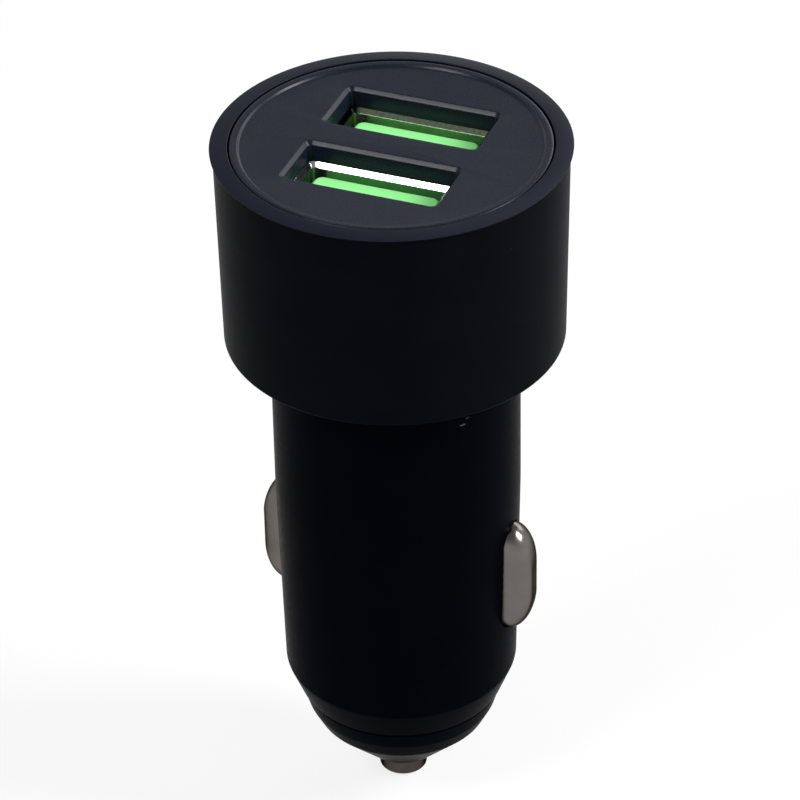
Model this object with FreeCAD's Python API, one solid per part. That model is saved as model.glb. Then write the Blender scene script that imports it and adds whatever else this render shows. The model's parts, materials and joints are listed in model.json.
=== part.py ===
import FreeCAD, Part
import math
import os

# Two-port USB charger for a 12 V car socket. Millimetres, +Z up towards the ports, X along the ports'
# long side and the side contacts. The origin is on the axis, on the head's underside, which is the
# shoulder that stops the plug at the mouth of the socket.

V = FreeCAD.Vector

# Head sleeve
rim_diameter = 30.0
rim_width = 1.5
rim_overhang = 0.25
head_height = 18.4
head_taper = 0.29
head_bottom_bevel = 0.3
lip_height = 0.15
lip_bevel = 0.25

# Face plate
plate_gap = 0.15
plate_recess = 0.25
plate_band_width = 0.75
plate_band_rise = 0.2
plate_thickness = 1.8
plate_leg_wall = 1.1
plate_leg_angle = 24.0
port_spacing = 9.27
port_length = 13.2
port_width = 5.7
port_corner = 0.35
port_chamfer = 0.33

# Plug barrel
barrel_diameter = 21.25
barrel_gauge_length = 15.25
barrel_end_diameter = 20.45
barrel_length = 36.9
barrel_round_height = 2.9
barrel_round_width = 1.15
barrel_window_angle = 26.0
barrel_bore_diameter = 18.0
barrel_lower_bore_diameter = 15.55
barrel_lower_bore_length = 5.2
collar_thickness = 2.4
guide_rail_width = 0.8
guide_rail_length = 13.0
guide_rail_overlap = 0.8

# Nose cap
nose_length = 7.83
nose_joint_diameter = 17.8
nose_joint_round = 0.25
nose_joint_bevel = 0.3
nose_shoulder_bulge = 0.8
nose_cone_top_diameter = 15.25
nose_cone_top_depth = 3.46
nose_end_diameter = 6.71
nose_spigot_length = 3.7

# Centre contact and its spring
pin_diameter = 4.27
pin_reach = 2.34
pin_edge_bevel = 0.25
pin_flange_diameter = 6.6
pin_flange_thickness = 0.8
pin_seat_depth = 1.6
pin_stub_diameter = 2.8
pin_stub_length = 2.2
spring_wire = 0.5
spring_coil_diameter = 4.7
spring_turns = 6.5
spring_steps_a_turn = 10
spring_wire_sides = 5

# Side contacts and their leaf springs
side_contact_height = 11.2
side_contact_width = 3.56
side_contact_depth = 23.12
side_contact_reach = 12.7
side_contact_dome = 2.08
side_contact_crest_height = 2.4
side_contact_crest_width = 1.2
side_contact_section_angles = (0, 42, 78)
side_pocket_height = 7.6
side_pocket_width = 1.8
side_pocket_depth = 3.0
side_flange_height = 13.2
side_flange_width = 5.4
side_flange_thickness = 0.4
side_flange_face = 8.4
side_flange_corner = 0.8
leaf_width = 2.8
leaf_thickness = 0.25
leaf_foot_length = 2.2
leaf_half_span = 6.4
leaf_tip_share = 0.8
leaf_clearance = 0.05

# USB-A receptacles
usb_opening_length = 12.5
usb_opening_width = 5.12
usb_shell_wall = 0.3
usb_shell_corner = 0.6
usb_flare = 0.35
usb_flare_depth = 0.4
usb_finger_offset = 3.75
usb_finger_width = 2.0
usb_finger_slot = 0.3
usb_finger_bottom = 4.2
usb_finger_top = 10.5
usb_finger_hook = 0.9
usb_finger_bulge = 0.45
usb_tab_width = 1.2
usb_tab_reach = 2.4
usb_base_thickness = 1.5
usb_tongue_length = 11.1
usb_tongue_thickness = 1.84
usb_tongue_back_gap = 0.7
usb_tongue_depth = 2.4
usb_tongue_round = 0.25
usb_contact_pitches = (-3.5, -1.0, 1.0, 3.5)
usb_contact_width = 1.0
usb_contact_thickness = 0.25
usb_contact_channel = 0.3
usb_contact_bow = 0.5
usb_contact_bend_share = 0.4
usb_contact_bow_share = 0.72
usb_contact_crest_share = 0.8
usb_contact_tail = 2.2

# Circuit boards
board_thickness = 1.6
port_board_clearance = 0.15
main_board_width = 15.0
main_board_waist = 2.0
main_board_step_depth = 15.3
main_board_step = 1.0
main_board_tab_inner = 2.6
main_board_tab_width = 2.6
main_board_tab_reach = 0.3
spring_tab_width = 2.6
spring_tab_length = 1.4

# Components on the main board, each placed at a share of the board's length below the shoulder
inductor_diameter = 8.0
inductor_height = 6.0
inductor_flange = 0.9
inductor_core_diameter = 3.6
winding_diameter = 7.0
inductor_share = 0.243
capacitor_diameter = 6.3
capacitor_height = 5.8
capacitor_base = 6.6
capacitor_base_height = 0.8
capacitor_edge_bevel = 0.4
input_capacitor_share = 0.165
output_capacitor_share = 0.389
chip_length = 4.9
chip_width = 3.9
chip_height = 1.5
chip_lead_span = 6.0
chip_lead_width = 0.42
chip_lead_pitch = 1.27
chip_lead_thickness = 0.2
chip_standoff = 0.15
converter_chip_share = 0.48
control_chip_share = 0.596
control_chip_length = 2.9
control_chip_width = 1.6
control_chip_height = 1.1
control_chip_lead_span = 2.8
control_chip_lead_pitch = 0.95
diode_length = 4.3
diode_width = 2.6
diode_height = 2.2
diode_strap_length = 0.35
diode_strap_width = 1.4
diode_share = 0.65
fuse_length = 6.1
fuse_width = 2.6
fuse_cap_length = 1.3
fuse_cap_step = 0.08
fuse_share = 0.833
small_part_length = 2.0
small_part_width = 1.25
small_part_height = 0.6
# Face of the board (1 is +Y), then shares of the board's half width and of its length
small_part_places = (
    (1, -0.77, 0.12), (1, 0.77, 0.12), (1, -0.77, 0.365), (1, 0.77, 0.365), (1, 0.58, 0.745),
    (-1, -0.56, 0.535), (-1, 0.56, 0.535), (-1, -0.48, 0.663), (-1, 0.48, 0.663), (-1, 0, 0.73),
)

# Clearances
slide_clearance = 0.08
flange_clearance = 0.1
window_clearance = 0.1
seat_clearance = 0.05
solder_clearance = 0.05
board_end_clearance = 0.3

# Levels and radii that follow from the sizes above
rim_r = rim_diameter / 2
bore_r = rim_r - rim_width
barrel_r = barrel_diameter / 2
barrel_bore_r = barrel_bore_diameter / 2
lower_bore_r = barrel_lower_bore_diameter / 2
collar_top = collar_thickness
port_board_top = collar_top + board_thickness
face_z = head_height - plate_recess
plate_under = face_z - plate_thickness
mouth_z = plate_under - seat_clearance
base_top = port_board_top + usb_base_thickness
tongue_tip_z = face_z - usb_tongue_depth
port_centres = {"rear": port_spacing / 2, "front": -port_spacing / 2}
half_board = board_thickness / 2
barrel_end_z = -barrel_length
nose_end_z = barrel_end_z - nose_length
pin_r = pin_diameter / 2
pin_tip_z = nose_end_z - pin_reach
pin_seat_z = nose_end_z + pin_seat_depth
pin_flange_top = pin_seat_z + pin_flange_thickness
guide_r = pin_flange_diameter / 2 + flange_clearance
spigot_z = barrel_end_z + nose_spigot_length
board_end_z = spigot_z + board_end_clearance
side_z = -side_contact_depth
leaf_seat_x = main_board_width / 2 - main_board_waist


def cylinder(r, z0, z1, x=0.0, y=0.0):
    return Part.makeCylinder(r, z1 - z0, V(x, y, z0))


def tube(r_out, r_in, z0, z1):
    return cylinder(r_out, z0, z1).cut(cylinder(r_in, z0, z1))


def block(x0, x1, y0, y1, z0, z1):
    return Part.makeBox(x1 - x0, y1 - y0, z1 - z0, V(x0, y0, z0))


def slope(x, z):
    """Step of an outline along a spline of degree 1. Turned, it meshes lightly where nothing cuts it."""
    return ((x, z),)


def outline(start, *steps):
    """Face in the XZ plane. A step is an (x, z) point, a slope, or two points for an arc by the first."""
    at = V(start[0], 0, start[1])
    edges = []
    for step in steps + (start,):
        plain = not isinstance(step[0], tuple)
        points = [at] + [V(x, 0, z) for x, z in ((step,) if plain else step)]
        if plain:
            edge = Part.LineSegment(*points)
        elif len(points) == 3:
            edge = Part.Arc(*points)
        else:
            edge = Part.BSplineCurve()
            edge.interpolate(points)
        edges.append(edge.toShape())
        at = points[-1]
    return Part.Face(Part.Wire(edges))


def turned(start, *steps):
    """Solid of revolution about the Z axis."""
    return outline(start, *steps).revolve(V(0, 0, 0), V(0, 0, 1), 360)


def rounded_rectangle(length, width, corner, z, y=0.0):
    """Wire in the plane Z = z, centred on (0, y)."""
    a, b = length / 2 - corner, width / 2 - corner
    edges = []
    for cx, cy, turn in ((a, b, 0), (-a, b, 90), (-a, -b, 180), (a, -b, 270)):
        points = []
        for angle in (turn, turn + 45, turn + 90):
            t = math.radians(angle)
            points.append(V(cx + corner * math.cos(t), y + cy + corner * math.sin(t), z))
        edges.append(Part.Arc(*points).toShape())
    loop = []
    for here, after in zip(edges, edges[1:] + edges[:1]):
        loop.append(here)
        loop.append(Part.LineSegment(here.Vertexes[-1].Point, after.Vertexes[0].Point).toShape())
    return Part.Wire(loop)


def rounded_prism(length, width, corner, z0, z1, y=0.0):
    return Part.Face(rounded_rectangle(length, width, corner, z0, y)).extrude(V(0, 0, z1 - z0))


def slot_wire(width, height, x, z, radius=None):
    """Upright slot in the plane X = x. Its ends are half round, or have corners of the radius given."""
    r = radius or width / 2
    a, b = width / 2 - r, height / 2 - r
    def point(cy, cz, angle):
        t = math.radians(angle)
        return V(x, cy + r * math.cos(t), z + cz + r * math.sin(t))
    edges = []
    if a > 0:
        corners = ((a, b, 0, 90), (-a, b, 90, 180), (-a, -b, 180, 270), (a, -b, 270, 360))
    else:
        corners = ((0, b, 0, 180), (0, -b, 180, 360))
    for cy, cz, first, last in corners:
        ends = [point(cy, cz, first), point(cy, cz, (first + last) / 2), point(cy, cz, last)]
        edges.append((Part.Arc(*ends).toShape(), ends[0], ends[2]))
    loop = []
    for here, after in zip(edges, edges[1:] + edges[:1]):
        loop.append(here[0])
        loop.append(Part.LineSegment(here[2], after[1]).toShape())
    return Part.Wire(loop)


def strip(points, thickness, x0, x1):
    """Bent flat strip: a line of (y, z) points with the thickness to each side of it, from X = x0 to x1."""
    sides = ([], [])
    for i, (y, z) in enumerate(points):
        normals = []
        for j in (i - 1, i):
            if 0 <= j < len(points) - 1:
                dy, dz = points[j + 1][0] - points[j][0], points[j + 1][1] - points[j][1]
                length = math.hypot(dy, dz)
                normals.append((-dz / length, dy / length))
        ny = sum(n[0] for n in normals) / len(normals)
        nz = sum(n[1] for n in normals) / len(normals)
        reach = thickness / 2 / (ny * ny + nz * nz)
        sides[0].append(V(x0, y + ny * reach, z + nz * reach))
        sides[1].append(V(x0, y - ny * reach, z - nz * reach))
    loop = sides[0] + sides[1][::-1]
    return Part.Face(Part.makePolygon(loop + loop[:1])).extrude(V(x1 - x0, 0, 0))


def head_sleeve():
    top_r = rim_r - rim_overhang
    bottom_r = top_r - head_taper
    return turned(
        (bore_r, 0),
        (bottom_r - head_bottom_bevel, 0),
        (bottom_r, head_bottom_bevel),
        slope(top_r, head_height - lip_height - lip_bevel),
        (rim_r, head_height - lip_height),
        (rim_r, head_height),
        (bore_r, head_height),
    )


def port_opening(y):
    """Straight opening with a chamfer round its top edge."""
    inner = rounded_rectangle(port_length, port_width, port_corner, face_z - port_chamfer, y)
    grow = 2 * port_chamfer
    outer_corner = port_corner + port_chamfer
    outer = rounded_rectangle(port_length + grow, port_width + grow, outer_corner, face_z, y)
    flare = Part.makeLoft([inner, outer], True, True)
    straight = rounded_prism(port_length, port_width, port_corner, plate_under, face_z, y)
    return straight.fuse(flare)


def face_plate():
    """Disc with a raised band at its edge, on four legs that stand on the port board."""
    r = bore_r - plate_gap
    plate = turned(
        (0, face_z),
        (r - plate_band_width, face_z),
        (r, face_z + plate_band_rise),
        (r, plate_under),
        (0, plate_under),
    )
    ring = tube(r, r - plate_leg_wall, port_board_top, plate_under)
    for middle in (45, 135, 225, 315):
        leg = Part.makeCylinder(r, plate_under - port_board_top, V(0, 0, port_board_top),
                                V(0, 0, 1), plate_leg_angle)
        leg.rotate(V(0, 0, 0), V(0, 0, 1), middle - plate_leg_angle / 2)
        plate = plate.fuse(ring.common(leg))
    for y in port_centres.values():
        plate = plate.cut(port_opening(y))
    return plate.removeSplitter()


def guide_rails():
    """Two pairs of upright rails on the bore wall, which take the edges of the long board."""
    inner_x = main_board_width / 2 - guide_rail_overlap
    gap = half_board + solder_clearance
    rails = []
    for side in (-1, 1):
        for face in (-1, 1):
            x0, x1 = sorted((side * inner_x, side * barrel_r))
            y0, y1 = sorted((face * gap, face * (gap + guide_rail_width)))
            rails.append(block(x0, x1, y0, y1, -guide_rail_length, collar_top))
    wall = cylinder(barrel_bore_r + seat_clearance, -guide_rail_length, collar_top)
    return rails[0].fuse(rails[1:]).common(wall)


def barrel_sector(first, angle, cut=False):
    """Part of the turned barrel, from the angle first on. A part that takes a cut has a plain taper."""
    collar_r = bore_r - flange_clearance
    end_r = barrel_end_diameter / 2
    round_top = barrel_end_z + barrel_round_height
    lower_top = barrel_end_z + barrel_lower_bore_length
    face = outline(
        (barrel_bore_r, collar_top),
        (collar_r, collar_top),
        (collar_r, 0),
        (barrel_r, 0),
        (barrel_r, -barrel_gauge_length),
        (end_r, round_top) if cut else slope(end_r, round_top),
        (end_r - barrel_round_width, barrel_end_z),
        (lower_bore_r, barrel_end_z),
        (lower_bore_r, lower_top),
        (barrel_bore_r, lower_top),
    )
    face.rotate(V(0, 0, 0), V(0, 0, 1), first)
    return face.revolve(V(0, 0, 0), V(0, 0, 1), angle)


def barrel():
    """Tapered body under a collar, with a window for each side contact and the rails for the board."""
    half = barrel_window_angle / 2
    body = guide_rails()
    for middle in (0, 180):
        body = body.fuse(barrel_sector(middle - half, barrel_window_angle, True))
        body = body.fuse(barrel_sector(middle + half, 180 - barrel_window_angle))
    width = side_contact_width + 2 * window_clearance
    height = side_contact_height + 2 * window_clearance
    window = Part.Face(slot_wire(width, height, -barrel_diameter, side_z))
    return body.cut(window.extrude(V(2 * barrel_diameter, 0, 0))).removeSplitter()


def nose_cap():
    joint_r = nose_joint_diameter / 2
    round_r = nose_joint_round
    spigot_r = lower_bore_r - seat_clearance
    cone_r, cone_z = nose_cone_top_diameter / 2, barrel_end_z - nose_cone_top_depth
    shoulder_z = barrel_end_z - nose_joint_bevel
    turn_r, turn_z = cone_r + nose_shoulder_bulge, (shoulder_z + cone_z) / 2
    end_r = nose_end_diameter / 2
    hole_r = pin_r + slide_clearance
    return turned(
        (guide_r, spigot_z),
        (spigot_r, spigot_z),
        (spigot_r, barrel_end_z),
        (joint_r - round_r, barrel_end_z),
        (joint_r, shoulder_z),
        slope(turn_r, turn_z),
        (cone_r, cone_z),
        (end_r, nose_end_z),
        (hole_r, nose_end_z),
        (hole_r, pin_seat_z),
        (guide_r, pin_seat_z),
    )


def centre_contact():
    edge = pin_edge_bevel
    flange_r = pin_flange_diameter / 2
    stub_r = pin_stub_diameter / 2
    stub_top = pin_flange_top + pin_stub_length
    return turned(
        (0, pin_tip_z),
        (pin_r - edge, pin_tip_z),
        (pin_r, pin_tip_z + edge),
        (pin_r, pin_seat_z),
        (flange_r, pin_seat_z),
        (flange_r, pin_flange_top),
        (stub_r, pin_flange_top),
        (stub_r, stub_top),
        (0, stub_top),
    )


def contact_spring():
    """Coil spring between the pin's flange and the end of the long board, in short straight lengths."""
    coil_r = spring_coil_diameter / 2
    wire_r = spring_wire / 2
    start = pin_flange_top + wire_r
    rise = board_end_z - wire_r - start
    steps = round(spring_turns * spring_steps_a_turn)
    sections = []
    for i in range(steps + 1):
        around = math.radians(360 * i / spring_steps_a_turn)
        points = []
        for j in range(spring_wire_sides):
            a = math.radians(90 + 360 * j / spring_wire_sides)
            r = coil_r + wire_r * math.cos(a)
            z = start + rise * i / steps + wire_r * math.sin(a)
            points.append(V(r * math.cos(around), r * math.sin(around), z))
        sections.append(Part.makePolygon(points + points[:1]))
    return Part.makeLoft(sections, True, True)


def dome_sections():
    """Slot sections of a side contact's dome, from its foot to its crest."""
    sections = []
    foot_x = side_contact_reach - side_contact_dome
    for angle in side_contact_section_angles:
        t = math.radians(angle)
        width = side_contact_crest_width + (side_contact_width - side_contact_crest_width) * math.cos(t)
        height = side_contact_crest_height + (side_contact_height - side_contact_crest_height) * math.cos(t)
        rise = side_contact_dome * math.sin(t) / math.sin(math.radians(side_contact_section_angles[-1]))
        sections.append(slot_wire(width, height, foot_x + rise, side_z))
    return sections


def side_contact():
    """Lug with a domed crest, a pocket in its back and the flange that holds it in the barrel."""
    back = side_flange_face - side_flange_thickness
    stem_length = side_contact_reach - side_contact_dome - back
    stem = Part.Face(slot_wire(side_contact_width, side_contact_height, back, side_z))
    lug = stem.extrude(V(stem_length, 0, 0)).fuse(Part.makeLoft(dome_sections(), True, True))
    flange = Part.Face(slot_wire(side_flange_width, side_flange_height, back, side_z, side_flange_corner))
    lug = lug.fuse(flange.extrude(V(side_flange_thickness, 0, 0)))
    pocket = Part.Face(slot_wire(side_pocket_width, side_pocket_height, back, side_z))
    return lug.cut(pocket.extrude(V(side_pocket_depth, 0, 0))).removeSplitter()


def side_spring():
    """Leaf spring: a foot on the edge of the long board and a bow that presses on the side contact."""
    crest_x = side_flange_face - side_flange_thickness - leaf_clearance
    foot_x = leaf_seat_x + leaf_thickness
    rise = crest_x - foot_x
    bow_r = (leaf_half_span ** 2 + rise ** 2) / (2 * rise)
    start = -math.asin(leaf_half_span / bow_r)
    def on_bow(r, angle):
        return (crest_x - bow_r + r * math.cos(angle), side_z + r * math.sin(angle))
    inner_r = bow_r - leaf_thickness
    tip = -start * leaf_tip_share
    foot_end = side_z - leaf_half_span - leaf_foot_length
    face = outline(
        (leaf_seat_x, foot_end),
        (foot_x, foot_end),
        on_bow(bow_r, start),
        (on_bow(bow_r, 0), on_bow(bow_r, tip)),
        on_bow(inner_r, tip),
        (on_bow(inner_r, 0), on_bow(inner_r, start)),
        (leaf_seat_x, on_bow(bow_r, start)[1]),
    )
    face.translate(V(0, -leaf_width / 2, 0))
    return face.extrude(V(0, leaf_width, 0))


def mirrored(shape):
    return shape.mirror(V(0, 0, 0), V(1, 0, 0))


def finger_line(side):
    """Line in (y, z), from the shell wall at the finger's root to its flared tip, bulging into the port."""
    wall = usb_opening_width / 2 + usb_shell_wall / 2
    root = port_board_top + usb_finger_bottom
    tip = port_board_top + usb_finger_top
    return [
        (side * wall, root),
        (side * (wall - usb_finger_bulge), tip - usb_finger_hook),
        (side * wall, tip - usb_finger_slot),
    ]


def usb_shell(y):
    """Folded steel shell with a flared mouth, two sprung fingers in each wide wall and two board tabs."""
    wall = usb_shell_wall
    out_l, out_w = usb_opening_length + 2 * wall, usb_opening_width + 2 * wall
    in_corner = usb_shell_corner - wall
    flare_z = mouth_z - usb_flare_depth
    grow = 2 * usb_flare
    def body(length, width, corner):
        straight = rounded_prism(length, width, corner, port_board_top, flare_z, y)
        low = rounded_rectangle(length, width, corner, flare_z, y)
        high = rounded_rectangle(length + grow, width + grow, corner + usb_flare, mouth_z, y)
        return straight.fuse(Part.makeLoft([low, high], True, True))
    shell = body(out_l, out_w, usb_shell_corner).cut(
        body(usb_opening_length, usb_opening_width, in_corner))
    slot = usb_finger_width + 2 * usb_finger_slot
    root = port_board_top + usb_finger_bottom
    tip = port_board_top + usb_finger_top
    for x in (-usb_finger_offset, usb_finger_offset):
        shell = shell.cut(block(x - slot / 2, x + slot / 2, y - out_w, y + out_w, root, tip))
        for side in (-1, 1):
            finger = strip(finger_line(side), wall, x - usb_finger_width / 2, x + usb_finger_width / 2)
            finger.translate(V(0, y, 0))
            shell = shell.fuse(finger.cut(block(x - slot, x + slot, y - out_w, y + out_w, 0, root)))
    half = usb_tab_width / 2
    for side in (-1, 1):
        x0, x1 = sorted((side * usb_opening_length / 2, side * out_l / 2))
        tab_end = port_board_top - usb_tab_reach
        shell = shell.fuse(block(x0, x1, y - half, y + half, tab_end, port_board_top + usb_shell_corner))
    return shell.removeSplitter()


def tongue_face():
    """Distance from the port's centre to the face of the tongue that carries the contacts."""
    return usb_opening_width / 2 - usb_tongue_back_gap - usb_tongue_thickness


def usb_insulator(y):
    """Moulded base with the tongue, which has a channel for each contact strip."""
    gap = 2 * solder_clearance
    base = rounded_prism(usb_opening_length - gap, usb_opening_width - gap, usb_shell_corner - usb_shell_wall,
                         port_board_top, base_top, y)
    face_y = y + tongue_face()
    middle_y = face_y + usb_tongue_thickness / 2
    tip_edge = usb_tongue_round
    tongue = rounded_prism(usb_tongue_length, usb_tongue_thickness, usb_tongue_thickness / 2 - tip_edge / 2,
                           base_top - solder_clearance, tongue_tip_z, middle_y)
    top = [e for e in tongue.Edges if all(abs(v.Z - tongue_tip_z) < 1e-6 for v in e.Vertexes)]
    body = base.fuse(tongue.makeChamfer(tip_edge, top))
    half = usb_contact_width / 2 + solder_clearance
    floor = face_y + usb_contact_channel
    for x in usb_contact_pitches:
        body = body.cut(block(x - half, x + half, face_y - usb_contact_channel, floor,
                              port_board_top, tongue_tip_z - 2 * tip_edge))
    return body


def contact_line(y):
    """Line in (y, z) of a contact strip, from its solder tail to the tip that hooks back into the channel."""
    seat = y + tongue_face() + usb_contact_channel - usb_contact_thickness / 2
    reach = tongue_tip_z - base_top
    bow_y = seat - usb_contact_channel - usb_contact_bow
    return [
        (seat, port_board_top - usb_contact_tail),
        (seat, base_top + reach * usb_contact_bend_share),
        (bow_y, base_top + reach * usb_contact_bow_share),
        (bow_y, base_top + reach * usb_contact_crest_share),
        (seat, tongue_tip_z - 3 * usb_tongue_round),
    ]


def usb_contacts(y):
    half = usb_contact_width / 2
    strips = []
    for x in usb_contact_pitches:
        strips.append(strip(contact_line(y), usb_contact_thickness, x - half, x + half))
    return Part.makeCompound(strips)


def port_board():
    """Round board with the holes for the ports' tails and tabs and for the long board's tabs."""
    board = cylinder(bore_r - port_board_clearance, collar_top, port_board_top)
    gap = solder_clearance
    below, above = collar_top - 1, port_board_top + 1
    for y in port_centres.values():
        seat = contact_line(y)[0][0]
        half = usb_contact_width / 2 + gap
        depth = usb_contact_thickness / 2 + gap
        for x in usb_contact_pitches:
            board = board.cut(block(x - half, x + half, seat - depth, seat + depth, below, above))
        half = usb_tab_width / 2 + gap
        for side in (-1, 1):
            x0 = side * (usb_opening_length / 2 - gap)
            x1 = side * (usb_opening_length / 2 + usb_shell_wall + gap)
            board = board.cut(block(min(x0, x1), max(x0, x1), y - half, y + half, below, above))
    half = half_board + gap
    for side in (-1, 1):
        x0 = side * (main_board_tab_inner - gap)
        x1 = side * (main_board_tab_inner + main_board_tab_width + gap)
        board = board.cut(block(min(x0, x1), max(x0, x1), -half, half, below, above))
    return board


def main_board():
    """Long board: wide above, narrow between the side contacts, with tabs at both ends."""
    wide, narrow = main_board_width / 2, leaf_seat_x
    step_z = -main_board_step_depth
    tab_in, tab_out = main_board_tab_inner, main_board_tab_inner + main_board_tab_width
    tab_top = port_board_top + main_board_tab_reach
    spring_tab = spring_tab_width / 2
    face = outline(
        (wide, collar_top),
        (wide, step_z),
        (narrow, step_z - main_board_step),
        (narrow, board_end_z),
        (spring_tab, board_end_z),
        (spring_tab, board_end_z - spring_tab_length),
        (-spring_tab, board_end_z - spring_tab_length),
        (-spring_tab, board_end_z),
        (-narrow, board_end_z),
        (-narrow, step_z - main_board_step),
        (-wide, step_z),
        (-wide, collar_top),
        (-tab_out, collar_top),
        (-tab_out, tab_top),
        (-tab_in, tab_top),
        (-tab_in, collar_top),
        (tab_in, collar_top),
        (tab_in, tab_top),
        (tab_out, tab_top),
        (tab_out, collar_top),
    )
    face.translate(V(0, -half_board, 0))
    return face.extrude(V(0, board_thickness, 0))


def on_board(shape, side, share, x_share=0):
    """A component made standing on Z = 0, laid on the +Y (side 1) or -Y (side -1) face of the long board."""
    shape.rotate(V(0, 0, 0), V(1, 0, 0), -90 * side)
    shape.translate(V(x_share * main_board_width / 2, side * half_board, share * board_end_z))
    return shape


def inductor_core():
    r, neck = inductor_diameter / 2, inductor_core_diameter / 2
    flange, top = inductor_flange, inductor_height
    core = turned(
        (0, 0),
        (r, 0),
        (r, flange),
        (neck, flange),
        (neck, top - flange),
        (r, top - flange),
        (r, top),
        (0, top),
    )
    return on_board(core, 1, inductor_share)


def inductor_winding():
    """Copper winding between the core's flanges."""
    coil = tube(winding_diameter / 2, inductor_core_diameter / 2, inductor_flange,
                inductor_height - inductor_flange)
    return on_board(coil, 1, inductor_share)


def can_capacitor(share):
    """Aluminium can above a square moulded base."""
    r, edge = capacitor_diameter / 2, capacitor_edge_bevel
    can = turned(
        (0, capacitor_base_height),
        (r, capacitor_base_height),
        (r, capacitor_height - edge),
        (r - edge, capacitor_height),
        (0, capacitor_height),
    )
    half = capacitor_base / 2
    base = block(-half, half, -half, half, 0, capacitor_base_height)
    upright = [e for e in base.Edges if abs(e.Vertexes[0].Z - e.Vertexes[1].Z) > edge]
    return on_board(base.makeChamfer(edge, upright).fuse(can), -1, share)


def leaded_chip(length, width, height, lead_span, pitch, leads_a_side):
    """Moulded chip with bent leads along its two long sides."""
    chip = block(-length / 2, length / 2, -width / 2, width / 2, chip_standoff, height)
    knee = (lead_span + width) / 4
    mid = (chip_standoff + height) / 2
    foot = chip_lead_thickness / 2
    half = chip_lead_width / 2
    for side in (-1, 1):
        line = [
            (side * (width / 2 - foot), mid),
            (side * knee, mid),
            (side * knee, foot),
            (side * lead_span / 2, foot),
        ]
        for i in range(leads_a_side):
            x = (i - (leads_a_side - 1) / 2) * pitch
            chip = chip.fuse(strip(line, chip_lead_thickness, x - half, x + half))
    return chip


def converter_chip():
    chip = leaded_chip(chip_length, chip_width, chip_height, chip_lead_span, chip_lead_pitch, 4)
    return on_board(chip, 1, converter_chip_share)


def control_chip():
    chip = leaded_chip(control_chip_length, control_chip_width, control_chip_height,
                       control_chip_lead_span, control_chip_lead_pitch, 3)
    return on_board(chip, -1, control_chip_share)


def diode():
    half, strap = diode_width / 2, diode_strap_length
    body = block(-diode_length / 2, diode_length / 2, -half, half, 0, diode_height)
    strap_half = diode_strap_width / 2
    reach = diode_length / 2 + strap
    straps = block(-reach, reach, -strap_half, strap_half, 0, diode_height / 2)
    return on_board(body.fuse(straps), 1, diode_share)


def fuse():
    half, cap_half = fuse_width / 2 - fuse_cap_step, fuse_width / 2
    body = block(-half, half, -fuse_length / 2, fuse_length / 2, fuse_cap_step, fuse_width - fuse_cap_step)
    for side in (-1, 1):
        y0, y1 = sorted((side * fuse_length / 2, side * (fuse_length / 2 - fuse_cap_length)))
        body = body.fuse(block(-cap_half, cap_half, y0, y1, 0, fuse_width))
    return on_board(body, 1, fuse_share)


def chip_parts():
    """Small resistors and ceramic capacitors on both faces of the long board."""
    parts = []
    for side, x_share, share in small_part_places:
        part = block(-small_part_width / 2, small_part_width / 2, -small_part_length / 2,
                     small_part_length / 2, 0, small_part_height)
        parts.append(on_board(part, side, share, x_share))
    return Part.makeCompound(parts)


def build():
    nodes = {
        "head_sleeve": head_sleeve(),
        "face_plate": face_plate(),
        "barrel": barrel(),
        "nose_cap": nose_cap(),
        "centre_contact": centre_contact(),
        "contact_spring": contact_spring(),
        "side_contact_right": side_contact(),
        "side_contact_left": mirrored(side_contact()),
        "side_spring_right": side_spring(),
        "side_spring_left": mirrored(side_spring()),
        "port_board": port_board(),
        "main_board": main_board(),
        "inductor_core": inductor_core(),
        "inductor_winding": inductor_winding(),
        "input_capacitor": can_capacitor(input_capacitor_share),
        "output_capacitor": can_capacitor(output_capacitor_share),
        "converter_chip": converter_chip(),
        "control_chip": control_chip(),
        "diode": diode(),
        "fuse": fuse(),
        "chip_parts": chip_parts(),
    }
    for name, y in port_centres.items():
        nodes["usb_shell_" + name] = usb_shell(y)
        nodes["usb_insulator_" + name] = usb_insulator(y)
        nodes["usb_contacts_" + name] = usb_contacts(y)
    return nodes


os.makedirs("parts", exist_ok=True)
for node, shape in build().items():
    shape.exportStep("parts/" + node + ".step")
    print(node, len(shape.Solids), "solid", round(shape.Volume, 2), "mm3", shape.isValid())
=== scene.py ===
import json
import math

import bmesh
import bpy
from mathutils import Matrix, Vector


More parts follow.
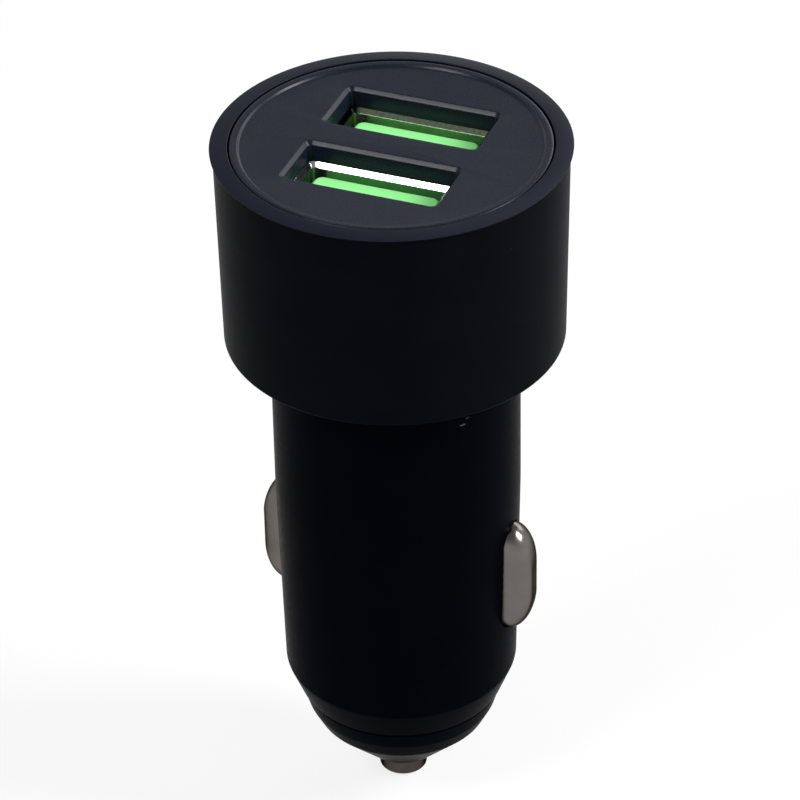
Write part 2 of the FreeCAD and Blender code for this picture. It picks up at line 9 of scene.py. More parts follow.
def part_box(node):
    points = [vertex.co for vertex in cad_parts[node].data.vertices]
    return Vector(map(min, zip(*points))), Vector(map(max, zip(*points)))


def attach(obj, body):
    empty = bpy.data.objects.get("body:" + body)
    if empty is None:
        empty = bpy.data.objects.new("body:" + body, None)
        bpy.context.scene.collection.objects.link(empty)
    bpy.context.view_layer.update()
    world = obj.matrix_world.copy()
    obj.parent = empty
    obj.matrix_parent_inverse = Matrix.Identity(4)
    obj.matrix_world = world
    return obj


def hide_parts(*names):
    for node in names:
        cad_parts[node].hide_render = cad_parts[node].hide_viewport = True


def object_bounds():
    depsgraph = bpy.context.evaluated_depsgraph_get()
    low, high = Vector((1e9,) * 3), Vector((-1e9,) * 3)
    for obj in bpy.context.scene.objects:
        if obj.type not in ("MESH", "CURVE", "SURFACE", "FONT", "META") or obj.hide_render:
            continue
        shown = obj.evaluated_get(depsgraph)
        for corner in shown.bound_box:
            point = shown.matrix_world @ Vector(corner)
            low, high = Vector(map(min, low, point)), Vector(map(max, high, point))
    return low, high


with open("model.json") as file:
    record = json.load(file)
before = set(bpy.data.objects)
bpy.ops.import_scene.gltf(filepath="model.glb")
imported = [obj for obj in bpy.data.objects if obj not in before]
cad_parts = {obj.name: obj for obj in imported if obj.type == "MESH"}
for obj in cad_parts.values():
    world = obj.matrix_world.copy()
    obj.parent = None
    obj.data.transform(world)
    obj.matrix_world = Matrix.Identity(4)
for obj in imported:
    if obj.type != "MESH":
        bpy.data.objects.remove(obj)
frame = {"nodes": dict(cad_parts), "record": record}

# Two-port USB charger for a 12 V car socket, standing with its ports up. Metres, in the CAD frame.
cad_low, cad_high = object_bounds()
MM = 0.001

# Camera, from the photograph: the centre of the face plate lies at FACE_PX
AZIMUTH, ELEVATION, ROLL = 21.848, 34.704, -1.1
FRAME_PX = 800
FOCAL_PX = 4263.6
DISTANCE = 0.350
FACE_PX = (391.45, 144.53)
SENSOR = 36.0
CLIP_NEAR, CLIP_FAR = 0.01, 10

# Sizes below are in millimetres, and angles in degrees

# Meshing
MERGE_DISTANCE = 1e-7 / MM
ON_AXIS = 1e-6
TURN_STEPS, PIN_STEPS = 256, 96
CORNER_STEPS = 8
FINE_ROUND_STEPS = 8
ROUND_SHARE = 0.49
EDGE_ROUND = 0.06

# Head sleeve
RIM_WIDTH, RIM_FALL, RIM_ROUND = 1.5, 0.12, 0.07
LIP_DROP, LIP_ROUND = 0.15, 0.06
LIP_FOOT_DROP, LIP_FOOT_INSET, LIP_FOOT_ROUND = 0.4, 0.25, 0.12
BOTTOM_INSET, BOTTOM_ROUND = 0.54, 0.28

# Face plate, with the raised band at its edge and its legs
PLATE_THICKNESS = 1.8
BAND_WIDTH, BAND_RISE, BAND_EDGE_DROP, BAND_EDGE_ROUND = 0.75, 0.2, 0.02, 0.12
BAND_CREST_INSET, BAND_CREST_ROUND = 0.25, 0.3
BAND_SLOPE_IN, BAND_SLOPE_OUT, BAND_SLOPE_ROUND = 0.04, 0.12, 0.06
LEG_WALL, LEG_ANGLE, LEG_FOOT, LEG_STEPS = 1.1, 24, 4.0, 6
LEG_INSET, LEG_OVERLAP, LEG_PLACES = 0.02, 0.3, (45, 135, 225, 315)
PORT_SIZE, PORT_CORNER, PORT_OFFSET = (13.2, 5.7), 0.35, 4.635
PORT_CHAMFER, PORT_CHAMFER_ROUND = 0.33, 0.15
CUTTER_DEPTH, CUTTER_RISE = 3, 1

# Barrel
COLLAR_BORE_R, BARREL_R = 9.0, 10.625
STRAIGHT_LENGTH, STRAIGHT_ROUND = 15.25, 6.0
TAPER_END_R, TAPER_END_RISE, TAPER_END_ROUND = 10.225, 2.9, 1.2
BARREL_END, BARREL_END_R, BARREL_END_ROUND = -36.9, 9.075, 0.12
CAP_BORE_R, CAP_BORE_DEPTH, CAP_BORE_ROUND = 7.775, 5.2, 0.1
WINDOW_REACH, WINDOW_GAP = 15, 0.1

# Nose cap: the corners outside are (radius, distance below the joint, round)
SPIGOT_R, SPIGOT_ROUND = 7.725, 0.2
NOSE_OUTSIDE = ((8.65, 0, 0.1), (8.9, 0.3, 0.2), (8.425, 1.88, 1.5), (7.625, 3.46, 0.8))
NOSE_TIP_R, NOSE_TIP_ROUND = 3.355, 0.2
NOSE_BORE_R, NOSE_FLOOR, PIN_HOLE_R = 3.4, 1.6, 2.215

# Centre contact
PIN_R, PIN_LENGTH, PIN_ROUND = 2.135, 3.94, 0.25
PIN_COLLAR_R, PIN_COLLAR_HEIGHT, PIN_STEM_R = 3.3, 0.8, 1.4

# Side contact, as drawn
CONTACT_SIZE, CONTACT_CREST = (3.56, 10.8), (1.0, 3.2)
CONTACT_REACH, CONTACT_DOME, CONTACT_DROP = 12.55, 2.2, 0.15
CONTACT_ROWS = 24
FLANGE_SIZE, FLANGE_CORNER, FLANGE_THICKNESS = (5.4, 13.2), 0.8, 0.4
POCKET_SIZE, POCKET_DEPTH = (1.8, 7.6), 3.0

# Edges that stay sharp in the shading of a piece
SHARP, SHARP_CONTACT, SHARP_PLATE = 40, 50, 30

# Weld and small rounds on the CAD nodes that stay
WELD_DISTANCE = 1e-6 / MM
SHELL_BEVEL, TONGUE_BEVEL = 0.05, 0.12
BEVEL_SEGMENTS, BEVEL_ANGLE = 2, 35

# Patterns of the finishes: heights above which two of them take a painted tone (painted light on the sleeve's
# rim face, painted shade on the rear shell's flare), detail of the noise, and dust
RIM_FACE_Z, SHELL_FLARE_Z, CHANGE_HALF = 18.25, 15.9, 0.02
PATCH_DETAIL, FINE_DETAIL = 3.0, 6.0
DUST_GAP, DUST_SIZE, DUST_RARE = 2.2, 0.045, 0.8
PORT_GREEN_DEPTH = 1.5


def node_box(name):
    """Lowest and highest corner of a CAD node in millimetres."""
    low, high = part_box(name)
    return low / MM, high / MM


def added(name, data):
    """New object of the data, in the scene."""
    obj = bpy.data.objects.new(name, data)
    bpy.context.scene.collection.objects.link(obj)
    return obj


def mesh_object(name, vertices, faces):
    """Closed mesh from coordinates in millimetres, with its faces turned outwards."""
    mesh = bpy.data.meshes.new(name)
    mesh.from_pydata([Vector(v) * MM for v in vertices], [], faces)
    shape = bmesh.new()
    shape.from_mesh(mesh)
    bmesh.ops.remove_doubles(shape, verts=shape.verts, dist=MERGE_DISTANCE * MM)
    bmesh.ops.recalc_face_normals(shape, faces=shape.faces)
    shape.to_mesh(mesh)
    shape.free()
    return added(name, mesh)


def combined(obj, operation, tools):
    """Joins or cuts the tools into the object's own mesh, and removes them."""
    for tool in tools:
        step = obj.modifiers.new(operation.lower(), "BOOLEAN")
        step.operation = operation
        step.solver = "EXACT"
        step.object = tool
        graph = bpy.context.evaluated_depsgraph_get()
        mesh = bpy.data.meshes.new_from_object(obj.evaluated_get(graph))
        obj.modifiers.clear()
        obj.data = mesh
        bpy.data.objects.remove(tool)
    return obj


def finished(obj, body, slot, node, finish=None, smooth=SHARP):
    """The object as a piece that rides on a body, wears a slot's finish and stands for a CAD node."""
    obj.data.polygons.foreach_set("use_smooth", [True] * len(obj.data.polygons))
    obj.data.set_sharp_from_angle(angle=math.radians(smooth))
    obj.data.materials.clear()
    obj.data.materials.append(FINISH[finish or slot])
    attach(obj, body)
    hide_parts(node)
    return obj


def rounded(corners, steps=6):
    """Closed outline of (r, z, round) corners as (r, z) points. Each round is a soft curve that starts
    and ends where an arc of that radius would."""
    points = []
    count = len(corners)
    for i, (x, z, radius) in enumerate(corners):
        here = Vector((x, z))
        to_last = Vector(corners[i - 1][:2]) - here
        to_next = Vector(corners[(i + 1) % count][:2]) - here
        if radius <= 0:
            points.append((x, z))
            continue
        half = to_last.angle(to_next) / 2
        reach = min(radius / math.tan(half), to_last.length * ROUND_SHARE, to_next.length * ROUND_SHARE)
        start = here + to_last.normalized() * reach
        end = here + to_next.normalized() * reach
        for k in range(steps + 1):
            t = k / steps
            at = start * (1 - t) ** 2 + here * 2 * t * (1 - t) + end * t ** 2
            points.append((at.x, at.y))
    return points


def turned(name, profile, steps=TURN_STEPS):
    """Solid turned about the Z axis from a closed (r, z) profile. Its points on the axis stay single."""
    vertices, faces, ring = [], [], []
    for r, z in profile:
        first = len(vertices)
        if r < ON_AXIS:
            vertices.append((0, 0, z))
            ring.append([first] * steps)
            continue
        for i in range(steps):
            a = 2 * math.pi * i / steps
            vertices.append((r * math.cos(a), r * math.sin(a), z))
        ring.append([first + i for i in range(steps)])
    for here, after in zip(ring, ring[1:] + ring[:1]):
        for i in range(steps):
            k = (i + 1) % steps
            corners = []
            for index in (here[i], here[k], after[k], after[i]):
                if index not in corners:
                    corners.append(index)
            if len(corners) > 2:
                faces.append(tuple(corners))
    return mesh_object(name, vertices, faces)


def lofted(name, loops):
    """Closed solid over loops of equally many points, with a flat face at each end."""
    count = len(loops[0])
    vertices = [point for loop in loops for point in loop]
    faces = [tuple(range(count)), tuple(range(len(vertices) - count, len(vertices)))]
    for i in range(0, len(vertices) - count, count):
        for j in range(count):
            k = (j + 1) % count
            faces.append((i + j, i + k, i + count + k, i + count + j))
    return mesh_object(name, vertices, faces)


def rectangle(width, height, corner):
    """Points of a rectangle with round corners about the origin."""
    points = []
    a, b = width / 2 - corner, height / 2 - corner
    for cx, cy, turn in ((a, b, 0), (-a, b, 90), (-a, -b, 180), (a, -b, 270)):
        for k in range(CORNER_STEPS + 1):
            t = math.radians(turn + 90 * k / CORNER_STEPS)
            points.append((cx + corner * math.cos(t), cy + corner * math.sin(t)))
    return points


# Node helpers

def tree_of(name):
    """New material with nodes, and its node tree."""
    material = bpy.data.materials.new(name)
    material.use_nodes = True
    return material, material.node_tree


def link(tree, source, target):
    tree.links.new(source, target)


def feed(tree, socket, value):
    """Sets a socket to a number or a colour, or links it to an output."""
    if isinstance(value, tuple):
        socket.default_value = (*value, 1)
    elif isinstance(value, (int, float)):
        socket.default_value = value
    else:
        link(tree, value, socket)


def maths(tree, operation, a, b=None):
    node = tree.nodes.new("ShaderNodeMath")
    node.operation = operation
    feed(tree, node.inputs[0], a)
    if b is not None:
        feed(tree, node.inputs[1], b)
    return node.outputs[0]


def place(tree):
    """Texture vector in millimetres."""
    coord = tree.nodes.new("ShaderNodeTexCoord")
    scale = tree.nodes.new("ShaderNodeVectorMath")
    scale.operation = "SCALE"
    scale.inputs["Scale"].default_value = 1 / MM
    link(tree, coord.outputs["Object"], scale.inputs[0])
    return scale.outputs[0]


def parts_of(tree, vector):
    """The x, y and z of a vector."""
    split = tree.nodes.new("ShaderNodeSeparateXYZ")
    link(tree, vector, split.inputs[0])
    return split.outputs


def round_axis(tree, vector):
    """Vector of (radius, 0, height), in which noise makes marks that run round the axis."""
    x, y, z = parts_of(tree, vector)
    squares = maths(tree, "ADD", maths(tree, "MULTIPLY", x, x), maths(tree, "MULTIPLY", y, y))
    join = tree.nodes.new("ShaderNodeCombineXYZ")
    link(tree, maths(tree, "SQRT", squares), join.inputs[0])
    link(tree, z, join.inputs[2])
    return join.outputs[0]


def noise(tree, vector, grain, detail):
    """Noise whose marks are about grain millimetres across."""
    node = tree.nodes.new("ShaderNodeTexNoise")
    node.inputs["Scale"].default_value = 1 / grain
    node.inputs["Detail"].default_value = detail
    link(tree, vector, node.inputs["Vector"])
    return node.outputs["Fac"]


def spread(tree, value, low, high, start=0.3, end=0.7):
    """The value's span from start to end as the span from low to high."""
    node = tree.nodes.new("ShaderNodeMapRange")
    node.inputs["From Min"].default_value = start
    node.inputs["From Max"].default_value = end
    feed(tree, node.inputs["To Min"], low)
    feed(tree, node.inputs["To Max"], high)
    link(tree, value, node.inputs["Value"])
    return node.outputs["Result"]


def blend(tree, factor, a, b):
    """Colour a where the factor is 0, and b where it is 1."""
    node = tree.nodes.new("ShaderNodeMix")
    node.data_type = "RGBA"
    link(tree, factor, node.inputs["Factor"])
    for name, colour in (("A", a), ("B", b)):
        socket = next(s for s in node.inputs if s.name == name and s.type == "RGBA")
        feed(tree, socket, colour)
    return next(s for s in node.outputs if s.type == "RGBA")


def specks(tree, vector, gap, size, rare):
    """Sparse round specks, 1 inside and 0 outside, in some of the cells of gap millimetres."""
    cells = tree.nodes.new("ShaderNodeTexVoronoi")
    cells.inputs["Scale"].default_value = 1 / gap
    link(tree, vector, cells.inputs["Vector"])
    small = maths(tree, "LESS_THAN", cells.outputs["Distance"], size / gap)
    tint = tree.nodes.new("ShaderNodeSeparateColor")
    link(tree, cells.outputs["Color"], tint.inputs[0])
    return maths(tree, "MULTIPLY", small, maths(tree, "GREATER_THAN", tint.outputs[0], rare))


def stroke(tree, vector, centre, turn, size):
    """1 inside a soft-edged ellipsoid about a centre, turned about Z by an angle in degrees, else 0."""
    node = tree.nodes.new("ShaderNodeMapping")
    node.vector_type = "TEXTURE"
    node.inputs["Location"].default_value = centre
    node.inputs["Rotation"].default_value = (0, 0, math.radians(turn))
    node.inputs["Scale"].default_value = size
    link(tree, vector, node.inputs["Vector"])
    length = tree.nodes.new("ShaderNodeVectorMath")
    length.operation = "LENGTH"
    link(tree, node.outputs[0], length.inputs[0])
    return spread(tree, length.outputs["Value"], 1.0, 0.0, 0.5, 1.0)


# Materials

def shades(colour, variation):
    """The colour made darker and lighter by its variation."""
    return [tuple(min(c * share, 1.0) for c in colour) for share in (1 - variation, 1 + variation)]


def surface(name, colour, variation, rough, rough_range, grain, bump, turning=False, dust=0.0,
            patch=4.0, top=None, strokes=(), **uniform):
    """Procedural finish: colour in patches, roughness and bump from fine grain, dust and scratches if asked.
    Grain, bump and patch are in millimetres. Turning makes the grain run round the axis. The top is
    (height, colour, specular level or None) for what lies above that height. What is the same all over
    the surface is set on the shader's socket of that name."""
    material, tree = tree_of(name)
    shader = tree.nodes["Principled BSDF"]
    solid = place(tree)
    marks = round_axis(tree, solid) if turning else solid
    tones = spread(tree, noise(tree, solid, patch, PATCH_DETAIL), 0, 1)
    base = blend(tree, tones, *shades(colour, variation))
    # The top colour is painted light or shade: a lighter tone on the sleeve's rim face, painted shade on the
    # rear shell's flare.
    if top:
        height, painted_top_colour, top_level = top
        above = spread(tree, parts_of(tree, solid)[2], 0.0, 1.0, height - CHANGE_HALF, height + CHANGE_HALF)
        base = blend(tree, above, base, blend(tree, tones, *shades(painted_top_colour, variation)))
        if top_level is not None:
            level = spread(tree, above, uniform.pop("Specular_IOR_Level"), top_level, 0.0, 1.0)
            link(tree, level, shader.inputs["Specular IOR Level"])
    if dust:
        base = blend(tree, specks(tree, solid, DUST_GAP, DUST_SIZE, DUST_RARE), base, (dust, dust, dust))
    for centre, turn, size, tint in strokes:
        base = blend(tree, stroke(tree, solid, centre, turn, size), base, tint)
    link(tree, base, shader.inputs["Base Color"])
    fine = noise(tree, marks, grain, FINE_DETAIL)
    link(tree, spread(tree, fine, rough - rough_range, rough + rough_range), shader.inputs["Roughness"])
    relief = tree.nodes.new("ShaderNodeBump")
    relief.inputs["Strength"].default_value = 1.0
    relief.inputs["Distance"].default_value = bump * MM
    link(tree, fine, relief.inputs["Height"])
    link(tree, relief.outputs[0], shader.inputs["Normal"])
    for socket, value in uniform.items():
        shader.inputs[socket.replace("_", " ")].default_value = value
    if shader.inputs["Anisotropic"].default_value:
        tangent = tree.nodes.new("ShaderNodeTangent")
        tangent.direction_type = "RADIAL"
        tangent.axis = "Z"
        link(tree, tangent.outputs[0], shader.inputs["Tangent"])
    return material


# Small scratch on the barrel: centre, angle about Z, half sizes and colour of its two strokes
SCRATCHES = (
    ((8.47, -6.41, -3.72), -37.1, (0.8, 0.34, 0.1), (0.075, 0.077, 0.085)),
    ((8.75, -6.02, -3.2), -34.5, (0.8, 0.26, 0.08), (0.03, 0.031, 0.036)),
)

# The numbers after a colour are its variation, the roughness and its range, the grain and the bump
FINISH = {
    # The sleeve's rim face above RIM_FACE_Z is glossier, with a higher specular level; its lighter, bluer
    # colour there is painted light.
    "sleeve_black": surface(
        "sleeve_black", (0.0026, 0.0029, 0.0042), 0.12, 0.36, 0.05, 0.06, 0.0012, turning=True, dust=0.05,
        top=(RIM_FACE_Z, (0.003, 0.005, 0.0125), 0.115), Specular_IOR_Level=0.006, Anisotropic=0.6),
    "plate_black": surface(
        "plate_black", (0.0065, 0.0095, 0.018), 0.1, 0.27, 0.05, 0.12, 0.004, dust=0.08,
        Specular_IOR_Level=0.16),
    "barrel_black": surface(
        "barrel_black", (0.0009, 0.0011, 0.0022), 0.12, 0.34, 0.05, 0.5, 0.002, dust=0.04,
        strokes=SCRATCHES, Specular_IOR_Level=0.004),
    "contact_nickel": surface(
        "contact_nickel", (0.16, 0.146, 0.137), 0.14, 0.21, 0.05, 0.5, 0.003,
        Metallic=1.0, Specular_Tint=(0.2, 0.22, 0.2, 1)),
    "pin_nickel": surface(
        "pin_nickel", (0.066, 0.058, 0.055), 0.14, 0.22, 0.05, 0.3, 0.002, turning=True, patch=2.0,
        Metallic=1.0, Specular_Tint=(0.3, 0.28, 0.27, 1)),
    "shell_steel": surface("shell_steel", (0.5, 0.51, 0.5), 0.08, 0.16, 0.04, 0.3, 0.001, Metallic=1.0),
    # Copy of the shell steel for the rear shell, a little rougher, whose flare above SHELL_FLARE_Z is painted
    # near-black: painted shade, as the two shells are the same part.
    "shell_painted_shade": surface(
        "shell_painted_shade", (0.5, 0.5, 0.45), 0.15, 0.24, 0.06, 0.3, 0.002,
        top=(SHELL_FLARE_Z, (0.007, 0.009, 0.006), None), Metallic=1.0),
    "port_green": surface(
        "port_green", (0.31, 1.0, 0.31), 0.04, 0.34, 0.05, 0.4, 0.003, Subsurface_Weight=0.5,
        Subsurface_Scale=PORT_GREEN_DEPTH * MM, Subsurface_Radius=(0.5, 1.0, 0.4)),
    "contact_gold": surface("contact_gold", (0.83, 0.62, 0.28), 0.08, 0.2, 0.05, 0.3, 0.001, Metallic=1.0),
    "spring_steel": surface("spring_steel", (0.56, 0.56, 0.58), 0.08, 0.26, 0.06, 0.3, 0.002, Metallic=1.0),
    "board_green": surface("board_green", (0.02, 0.16, 0.07), 0.15, 0.35, 0.06, 0.6, 0.006),
    "ferrite_grey": surface("ferrite_grey", (0.06, 0.06, 0.065), 0.15, 0.7, 0.08, 0.2, 0.01),
    "winding_copper": surface("winding_copper", (0.7, 0.3, 0.12), 0.1, 0.25, 0.05, 0.4, 0.003, Metallic=1.0),
    "can_aluminium": surface("can_aluminium", (0.75, 0.75, 0.77), 0.06, 0.28, 0.05, 0.2, 0.002, Metallic=1.0),
    "chip_black": surface("chip_black", (0.02, 0.02, 0.02), 0.15, 0.6, 0.08, 0.1, 0.006),
    "fuse_white": surface("fuse_white", (0.82, 0.8, 0.75), 0.05, 0.4, 0.06, 0.3, 0.003),
}


# Turned pieces

def head_sleeve():
    """Tube with a thin lip at the rim, whose face falls a little outwards."""
    low, high = node_box("head_sleeve")
    rim_r, top = high.x, high.z
    bore_r = rim_r - RIM_WIDTH
    profile = rounded([
        (bore_r, low.z, 0),
        (rim_r - BOTTOM_INSET, low.z, BOTTOM_ROUND),
        (rim_r - LIP_FOOT_INSET, top - LIP_FOOT_DROP, LIP_FOOT_ROUND),
        (rim_r, top - LIP_DROP, LIP_ROUND),
        (rim_r, top - RIM_FALL, RIM_ROUND),
        (bore_r, top, RIM_ROUND),
    ])
    return finished(turned("head_sleeve_turned", profile), "charger_body", "sleeve_black", "head_sleeve")


def nose_cap():
    """Hollow cap with a spigot in the barrel and a hole for the centre contact."""
    low, high = node_box("nose_cap")
    joint, end = BARREL_END, low.z
    outside = [(r, joint - drop, radius) for r, drop, radius in NOSE_OUTSIDE]
    profile = rounded([
        (NOSE_BORE_R, high.z, 0),
        (SPIGOT_R, high.z, SPIGOT_ROUND),
        (SPIGOT_R, joint, 0),
        *outside,
        (NOSE_TIP_R, end, NOSE_TIP_ROUND),
        (PIN_HOLE_R, end, EDGE_ROUND),
        (PIN_HOLE_R, end + NOSE_FLOOR, 0),
        (NOSE_BORE_R, end + NOSE_FLOOR, 0),
    ], FINE_ROUND_STEPS)
    return finished(turned("nose_cap_turned", profile), "charger_body", "barrel_black", "nose_cap")


def centre_contact():
    """Pin with a collar that stops it in the nose cap, and a stem in the coil spring."""
    low, high = node_box("centre_contact")
    seat = low.z + PIN_LENGTH
    profile = rounded([
        (0, low.z, 0),
        (PIN_R, low.z, PIN_ROUND),
        (PIN_R, seat, 0),
        (PIN_COLLAR_R, seat, EDGE_ROUND),
        (PIN_COLLAR_R, seat + PIN_COLLAR_HEIGHT, EDGE_ROUND),
        (PIN_STEM_R, seat + PIN_COLLAR_HEIGHT, 0),
        (PIN_STEM_R, high.z, PIN_ROUND),
        (0, high.z, 0),
    ])
    piece = turned("centre_contact_turned", profile, PIN_STEPS)
    return finished(piece, "centre_contact", "contact_nickel", "centre_contact", "pin_nickel")


# Side contacts

def contact_loop(width, height, x, middle, corner=None):
    """Upright slot in the plane X = x, with round ends or with corners of the radius given."""
    return [(x, y, middle + z) for y, z in rectangle(width, height, corner or width / 2)]


def side_contact(side):
    """Lug with a domed crest, a flange at its back and a pocket in it."""
    node = "side_contact_right" if side > 0 else "side_contact_left"
    low, high = node_box(node)
    middle = (low.z + high.z) / 2
    dome_middle = middle - CONTACT_DROP
    back = low.x if side > 0 else -high.x
    foot = CONTACT_REACH - CONTACT_DOME
    loops = []
    for k in range(CONTACT_ROWS, -1, -1):
        t = math.pi / 2 * k / CONTACT_ROWS
        width, height = [crest + (full - crest) * math.cos(t)
                         for crest, full in zip(CONTACT_CREST, CONTACT_SIZE)]
        loops.append(contact_loop(width, height, foot + CONTACT_DOME * math.sin(t), dome_middle))
    face = back + FLANGE_THICKNESS
    loops.append(contact_loop(*CONTACT_SIZE, face, dome_middle))
    loops += [contact_loop(*FLANGE_SIZE, x, middle, FLANGE_CORNER) for x in (face, back)]
    loops += [contact_loop(*POCKET_SIZE, x, middle) for x in (back, back + POCKET_DEPTH)]
    loops = [[(side * x, y, z) for x, y, z in loop] for loop in loops]
    return finished(lofted(node + "_drawn", loops), node, "contact_nickel", node, smooth=SHARP_CONTACT)


# Moulded pieces

def barrel():
    """Tapered tube under its collar, with a window through each side."""
    low, high = node_box("barrel")
    profile = rounded([
        (COLLAR_BORE_R, high.z, 0),
        (high.x, high.z, 0),
        (high.x, 0.0, 0),
        (BARREL_R, 0.0, 0),
        (BARREL_R, -STRAIGHT_LENGTH, STRAIGHT_ROUND),
        (TAPER_END_R, low.z + TAPER_END_RISE, TAPER_END_ROUND),
        (BARREL_END_R, low.z, BARREL_END_ROUND),
        (CAP_BORE_R, low.z, CAP_BORE_ROUND),
        (CAP_BORE_R, low.z + CAP_BORE_DEPTH, 0),
        (COLLAR_BORE_R, low.z + CAP_BORE_DEPTH, 0),
    ], FINE_ROUND_STEPS)
    contact_low, contact_high = node_box("side_contact_right")
    width, height = [size + 2 * WINDOW_GAP for size in CONTACT_SIZE]
    middle = (contact_low.z + contact_high.z) / 2 - CONTACT_DROP
    loops = [contact_loop(width, height, x, middle) for x in (-WINDOW_REACH, WINDOW_REACH)]
    piece = combined(turned("barrel_moulded", profile), "DIFFERENCE", [lofted("window", loops)])
    return finished(piece, "charger_body", "barrel_black", "barrel")


def plate_leg(r, top, middle):
    """Piece of a ring under the plate, about an angle in degrees."""
    loops = []
    for k in range(LEG_STEPS + 1):
        a = math.radians(middle + LEG_ANGLE * (k / LEG_STEPS - 0.5))
        corners = ((r - LEG_WALL, LEG_FOOT), (r, LEG_FOOT), (r, top), (r - LEG_WALL, top))
        loops.append([(x * math.cos(a), x * math.sin(a), z) for x, z in corners])
    return lofted("leg", loops)


def port_cutter(face, y):
    """Space of a port opening, which widens over a soft chamfer to the plate's face."""
    edge = rounded([
        (0, -CUTTER_DEPTH, 0),
        (0, -PORT_CHAMFER, PORT_CHAMFER_ROUND),
        (PORT_CHAMFER, 0, PORT_CHAMFER_ROUND),
        (1, 0, 0),
    ])[:-1]
    loops = []
    for grow, z in edge + [(edge[-1][0], CUTTER_RISE)]:
        width, height = [size + 2 * grow for size in PORT_SIZE]
        loops.append([(px, y + py, face + z) for px, py in rectangle(width, height, PORT_CORNER + grow)])
    return lofted("port", loops)


def face_plate():
    """Disc with a raised band at its edge, on four legs, with the two port openings."""
    high = node_box("face_plate")[1]
    r, face = high.x, high.z - BAND_RISE
    under = face - PLATE_THICKNESS
    profile = rounded([
        (0, under, 0),
        (r, under, 0),
        (r, high.z - BAND_EDGE_DROP, BAND_EDGE_ROUND),
        (r - BAND_CREST_INSET, high.z, BAND_CREST_ROUND),
        (r - BAND_WIDTH + BAND_SLOPE_OUT, high.z - BAND_EDGE_DROP, BAND_SLOPE_ROUND),
        (r - BAND_WIDTH - BAND_SLOPE_IN, face, BAND_SLOPE_ROUND),
        (0, face, 0),
    ])
    piece = turned("face_plate_moulded", profile)
    combined(piece, "UNION", [plate_leg(r - LEG_INSET, under + LEG_OVERLAP, a) for a in LEG_PLACES])
    combined(piece, "DIFFERENCE", [port_cutter(face, y) for y in (PORT_OFFSET, -PORT_OFFSET)])
    return finished(piece, "charger_body", "plate_black", "face_plate", smooth=SHARP_PLATE)


head_sleeve()
nose_cap()
centre_contact()
side_contact(1)
side_contact(-1)
barrel()
face_plate()

# CAD nodes that stay: their record's finish, and a small round on the edges of the ports' parts
ROUNDS = {"usb_shell_rear": SHELL_BEVEL, "usb_shell_front": SHELL_BEVEL,
          "usb_insulator_rear": TONGUE_BEVEL, "usb_insulator_front": TONGUE_BEVEL}
# The rear shell wears the copy of the shell steel whose flare is painted dark as painted shade.
PAINTED_SHADE_FINISH = {"usb_shell_rear": "shell_painted_shade"}
for part in frame["record"]["subparts"]:
    obj = frame["nodes"][part["node"]]
    obj.data.materials.clear()
    obj.data.materials.append(FINISH[PAINTED_SHADE_FINISH.get(part["node"], part["material_slot"])])
    weld = obj.modifiers.new("weld", "WELD")
    weld.merge_threshold = WELD_DISTANCE * MM
    if part["node"] in ROUNDS:
        bevel = obj.modifiers.new("edges", "BEVEL")
        bevel.width = ROUNDS[part["node"]] * MM
        bevel.segments = BEVEL_SEGMENTS
        bevel.limit_method = "ANGLE"
        bevel.angle_limit = math.radians(BEVEL_ANGLE)


# Floor, in metres

def seen_as_background(tree):
    """1 for the rays that show the white background: from the camera, off metal and through glass."""
    rays = tree.nodes.new("ShaderNodeLightPath")
    glossy = maths(tree, "MAXIMUM", rays.outputs["Is Glossy Ray"], rays.outputs["Is Transmission Ray"])
    return maths(tree, "MAXIMUM", rays.outputs["Is Camera Ray"], glossy)


FLOOR_GAP, FLOOR_HALF = 0.0002, 1.5
FLOOR_GREY, FLOOR_ROUGH, FLOOR_GLOW = 0.85, 0.9, 0.8
WHITE = (1, 1, 1, 1)


def floor_material():
    """Pale floor that shows mostly as white, and keeps the object's shadow."""
    material, tree = tree_of("floor_white")
    shader = tree.nodes["Principled BSDF"]
    shader.inputs["Base Color"].default_value = (FLOOR_GREY, FLOOR_GREY, FLOOR_GREY, 1)
    shader.inputs["Roughness"].default_value = FLOOR_ROUGH
    glow = tree.nodes.new("ShaderNodeEmission")
    glow.inputs["Color"].default_value = WHITE
    glow.inputs["Strength"].default_value = 1.0
    mix = tree.nodes.new("ShaderNodeMixShader")
    link(tree, maths(tree, "MULTIPLY", seen_as_background(tree), FLOOR_GLOW), mix.inputs[0])
    link(tree, shader.outputs[0], mix.inputs[1])
    link(tree, glow.outputs[0], mix.inputs[2])
    link(tree, mix.outputs[0], tree.nodes["Material Output"].inputs[0])
    return material


floor_z = cad_low.z - FLOOR_GAP
floor_corners = [(x * FLOOR_HALF, y * FLOOR_HALF, floor_z) for x, y in ((-1, -1), (1, -1), (1, 1), (-1, 1))]
floor_mesh = bpy.data.meshes.new("floor")
floor_mesh.from_pydata(floor_corners, [], [(0, 1, 2, 3)])
floor = added("floor", floor_mesh)
floor.data.materials.append(floor_material())

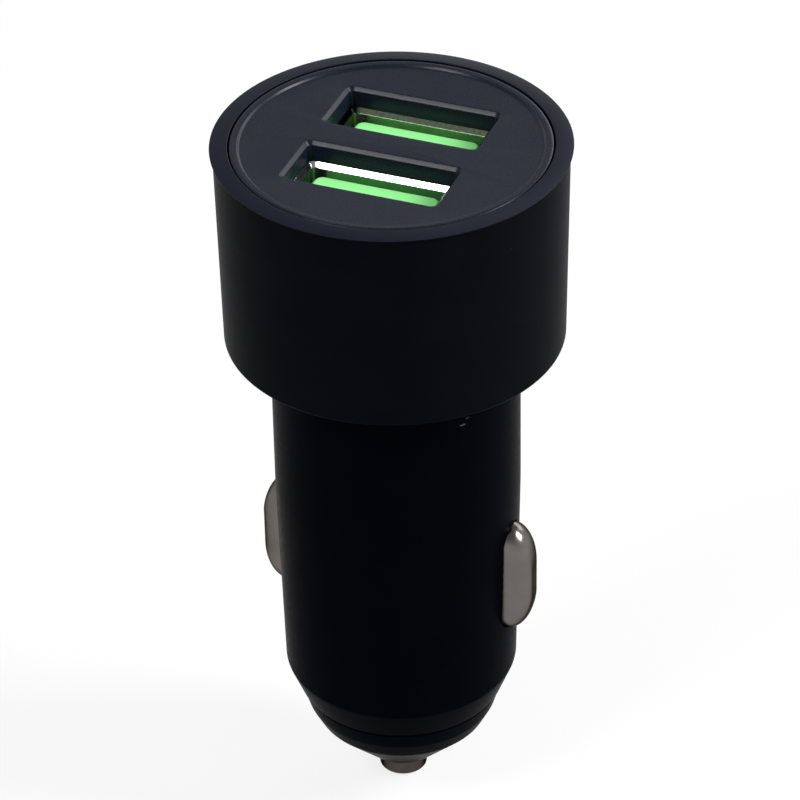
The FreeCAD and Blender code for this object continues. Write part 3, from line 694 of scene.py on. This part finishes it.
# World: the background is white up to a good height, and falls to the fill overhead
WORLD_FILL = 0.32
WHITE_UP_TO, FILL_FROM = 0.05, 0.7
world = bpy.data.worlds.new("studio")
bpy.context.scene.world = world
world.use_nodes = True
tree = world.node_tree
background = tree.nodes["Background"]
background.inputs["Color"].default_value = WHITE
sky = tree.nodes.new("ShaderNodeTexCoord")
rise = parts_of(tree, sky.outputs["Generated"])[2]
upward = spread(tree, rise, 1.0, WORLD_FILL, WHITE_UP_TO, FILL_FROM)
shown = maths(tree, "MULTIPLY", seen_as_background(tree), upward)
link(tree, maths(tree, "MAXIMUM", shown, WORLD_FILL), background.inputs["Strength"])


# Lamps and camera

def direction(azimuth, elevation):
    """Unit vector from the object towards the angles in degrees. Azimuth 0 stands at -Y."""
    a, e = math.radians(azimuth), math.radians(elevation)
    return Vector((math.sin(a) * math.cos(e), -math.cos(a) * math.cos(e), math.sin(e)))


def lamp(name, azimuth, elevation, distance, size, power):
    """Soft rectangular light that faces the object, in metres and watts."""
    data = bpy.data.lights.new(name, "AREA")
    data.shape = "RECTANGLE"
    data.size, data.size_y = size
    data.energy = power
    obj = added(name, data)
    back = direction(azimuth, elevation)
    obj.location = (cad_low + cad_high) / 2 + back * distance
    obj.rotation_mode = "QUATERNION"
    obj.rotation_quaternion = (-back).to_track_quat("-Z", "Y")


def photo_camera():
    """Camera at the photograph's angle, with the face plate's centre at its place in the frame."""
    back = direction(AZIMUTH, ELEVATION)
    azimuth, roll = math.radians(AZIMUTH), math.radians(ROLL)
    level = Vector((math.cos(azimuth), math.sin(azimuth), 0))
    upright = back.cross(level)
    right = level * math.cos(roll) + upright * math.sin(roll)
    up = upright * math.cos(roll) - level * math.sin(roll)
    across = (FACE_PX[0] - FRAME_PX / 2) / FOCAL_PX
    above = (FRAME_PX / 2 - FACE_PX[1]) / FOCAL_PX
    face_centre = Vector((0, 0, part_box("face_plate")[1].z - BAND_RISE * MM))
    data = bpy.data.cameras.new("camera")
    data.sensor_width = SENSOR
    data.lens = FOCAL_PX / FRAME_PX * SENSOR
    data.clip_start, data.clip_end = CLIP_NEAR, CLIP_FAR
    obj = added("camera", data)
    turn = Matrix((right, up, back)).transposed().to_4x4()
    place_at = face_centre + (back - right * across - up * above) * DISTANCE
    obj.matrix_world = Matrix.Translation(place_at) @ turn
    bpy.context.scene.camera = obj


lamp("light_key", -28, 49, 0.6, (0.2, 0.2), 1.8)
lamp("light_right", 106, 34, 0.6, (0.18, 0.26), 3.9)
lamp("light_back", 165, 24, 0.7, (0.6, 0.25), 1.5)
photo_camera()
bpy.context.scene.view_settings.view_transform = "Standard"
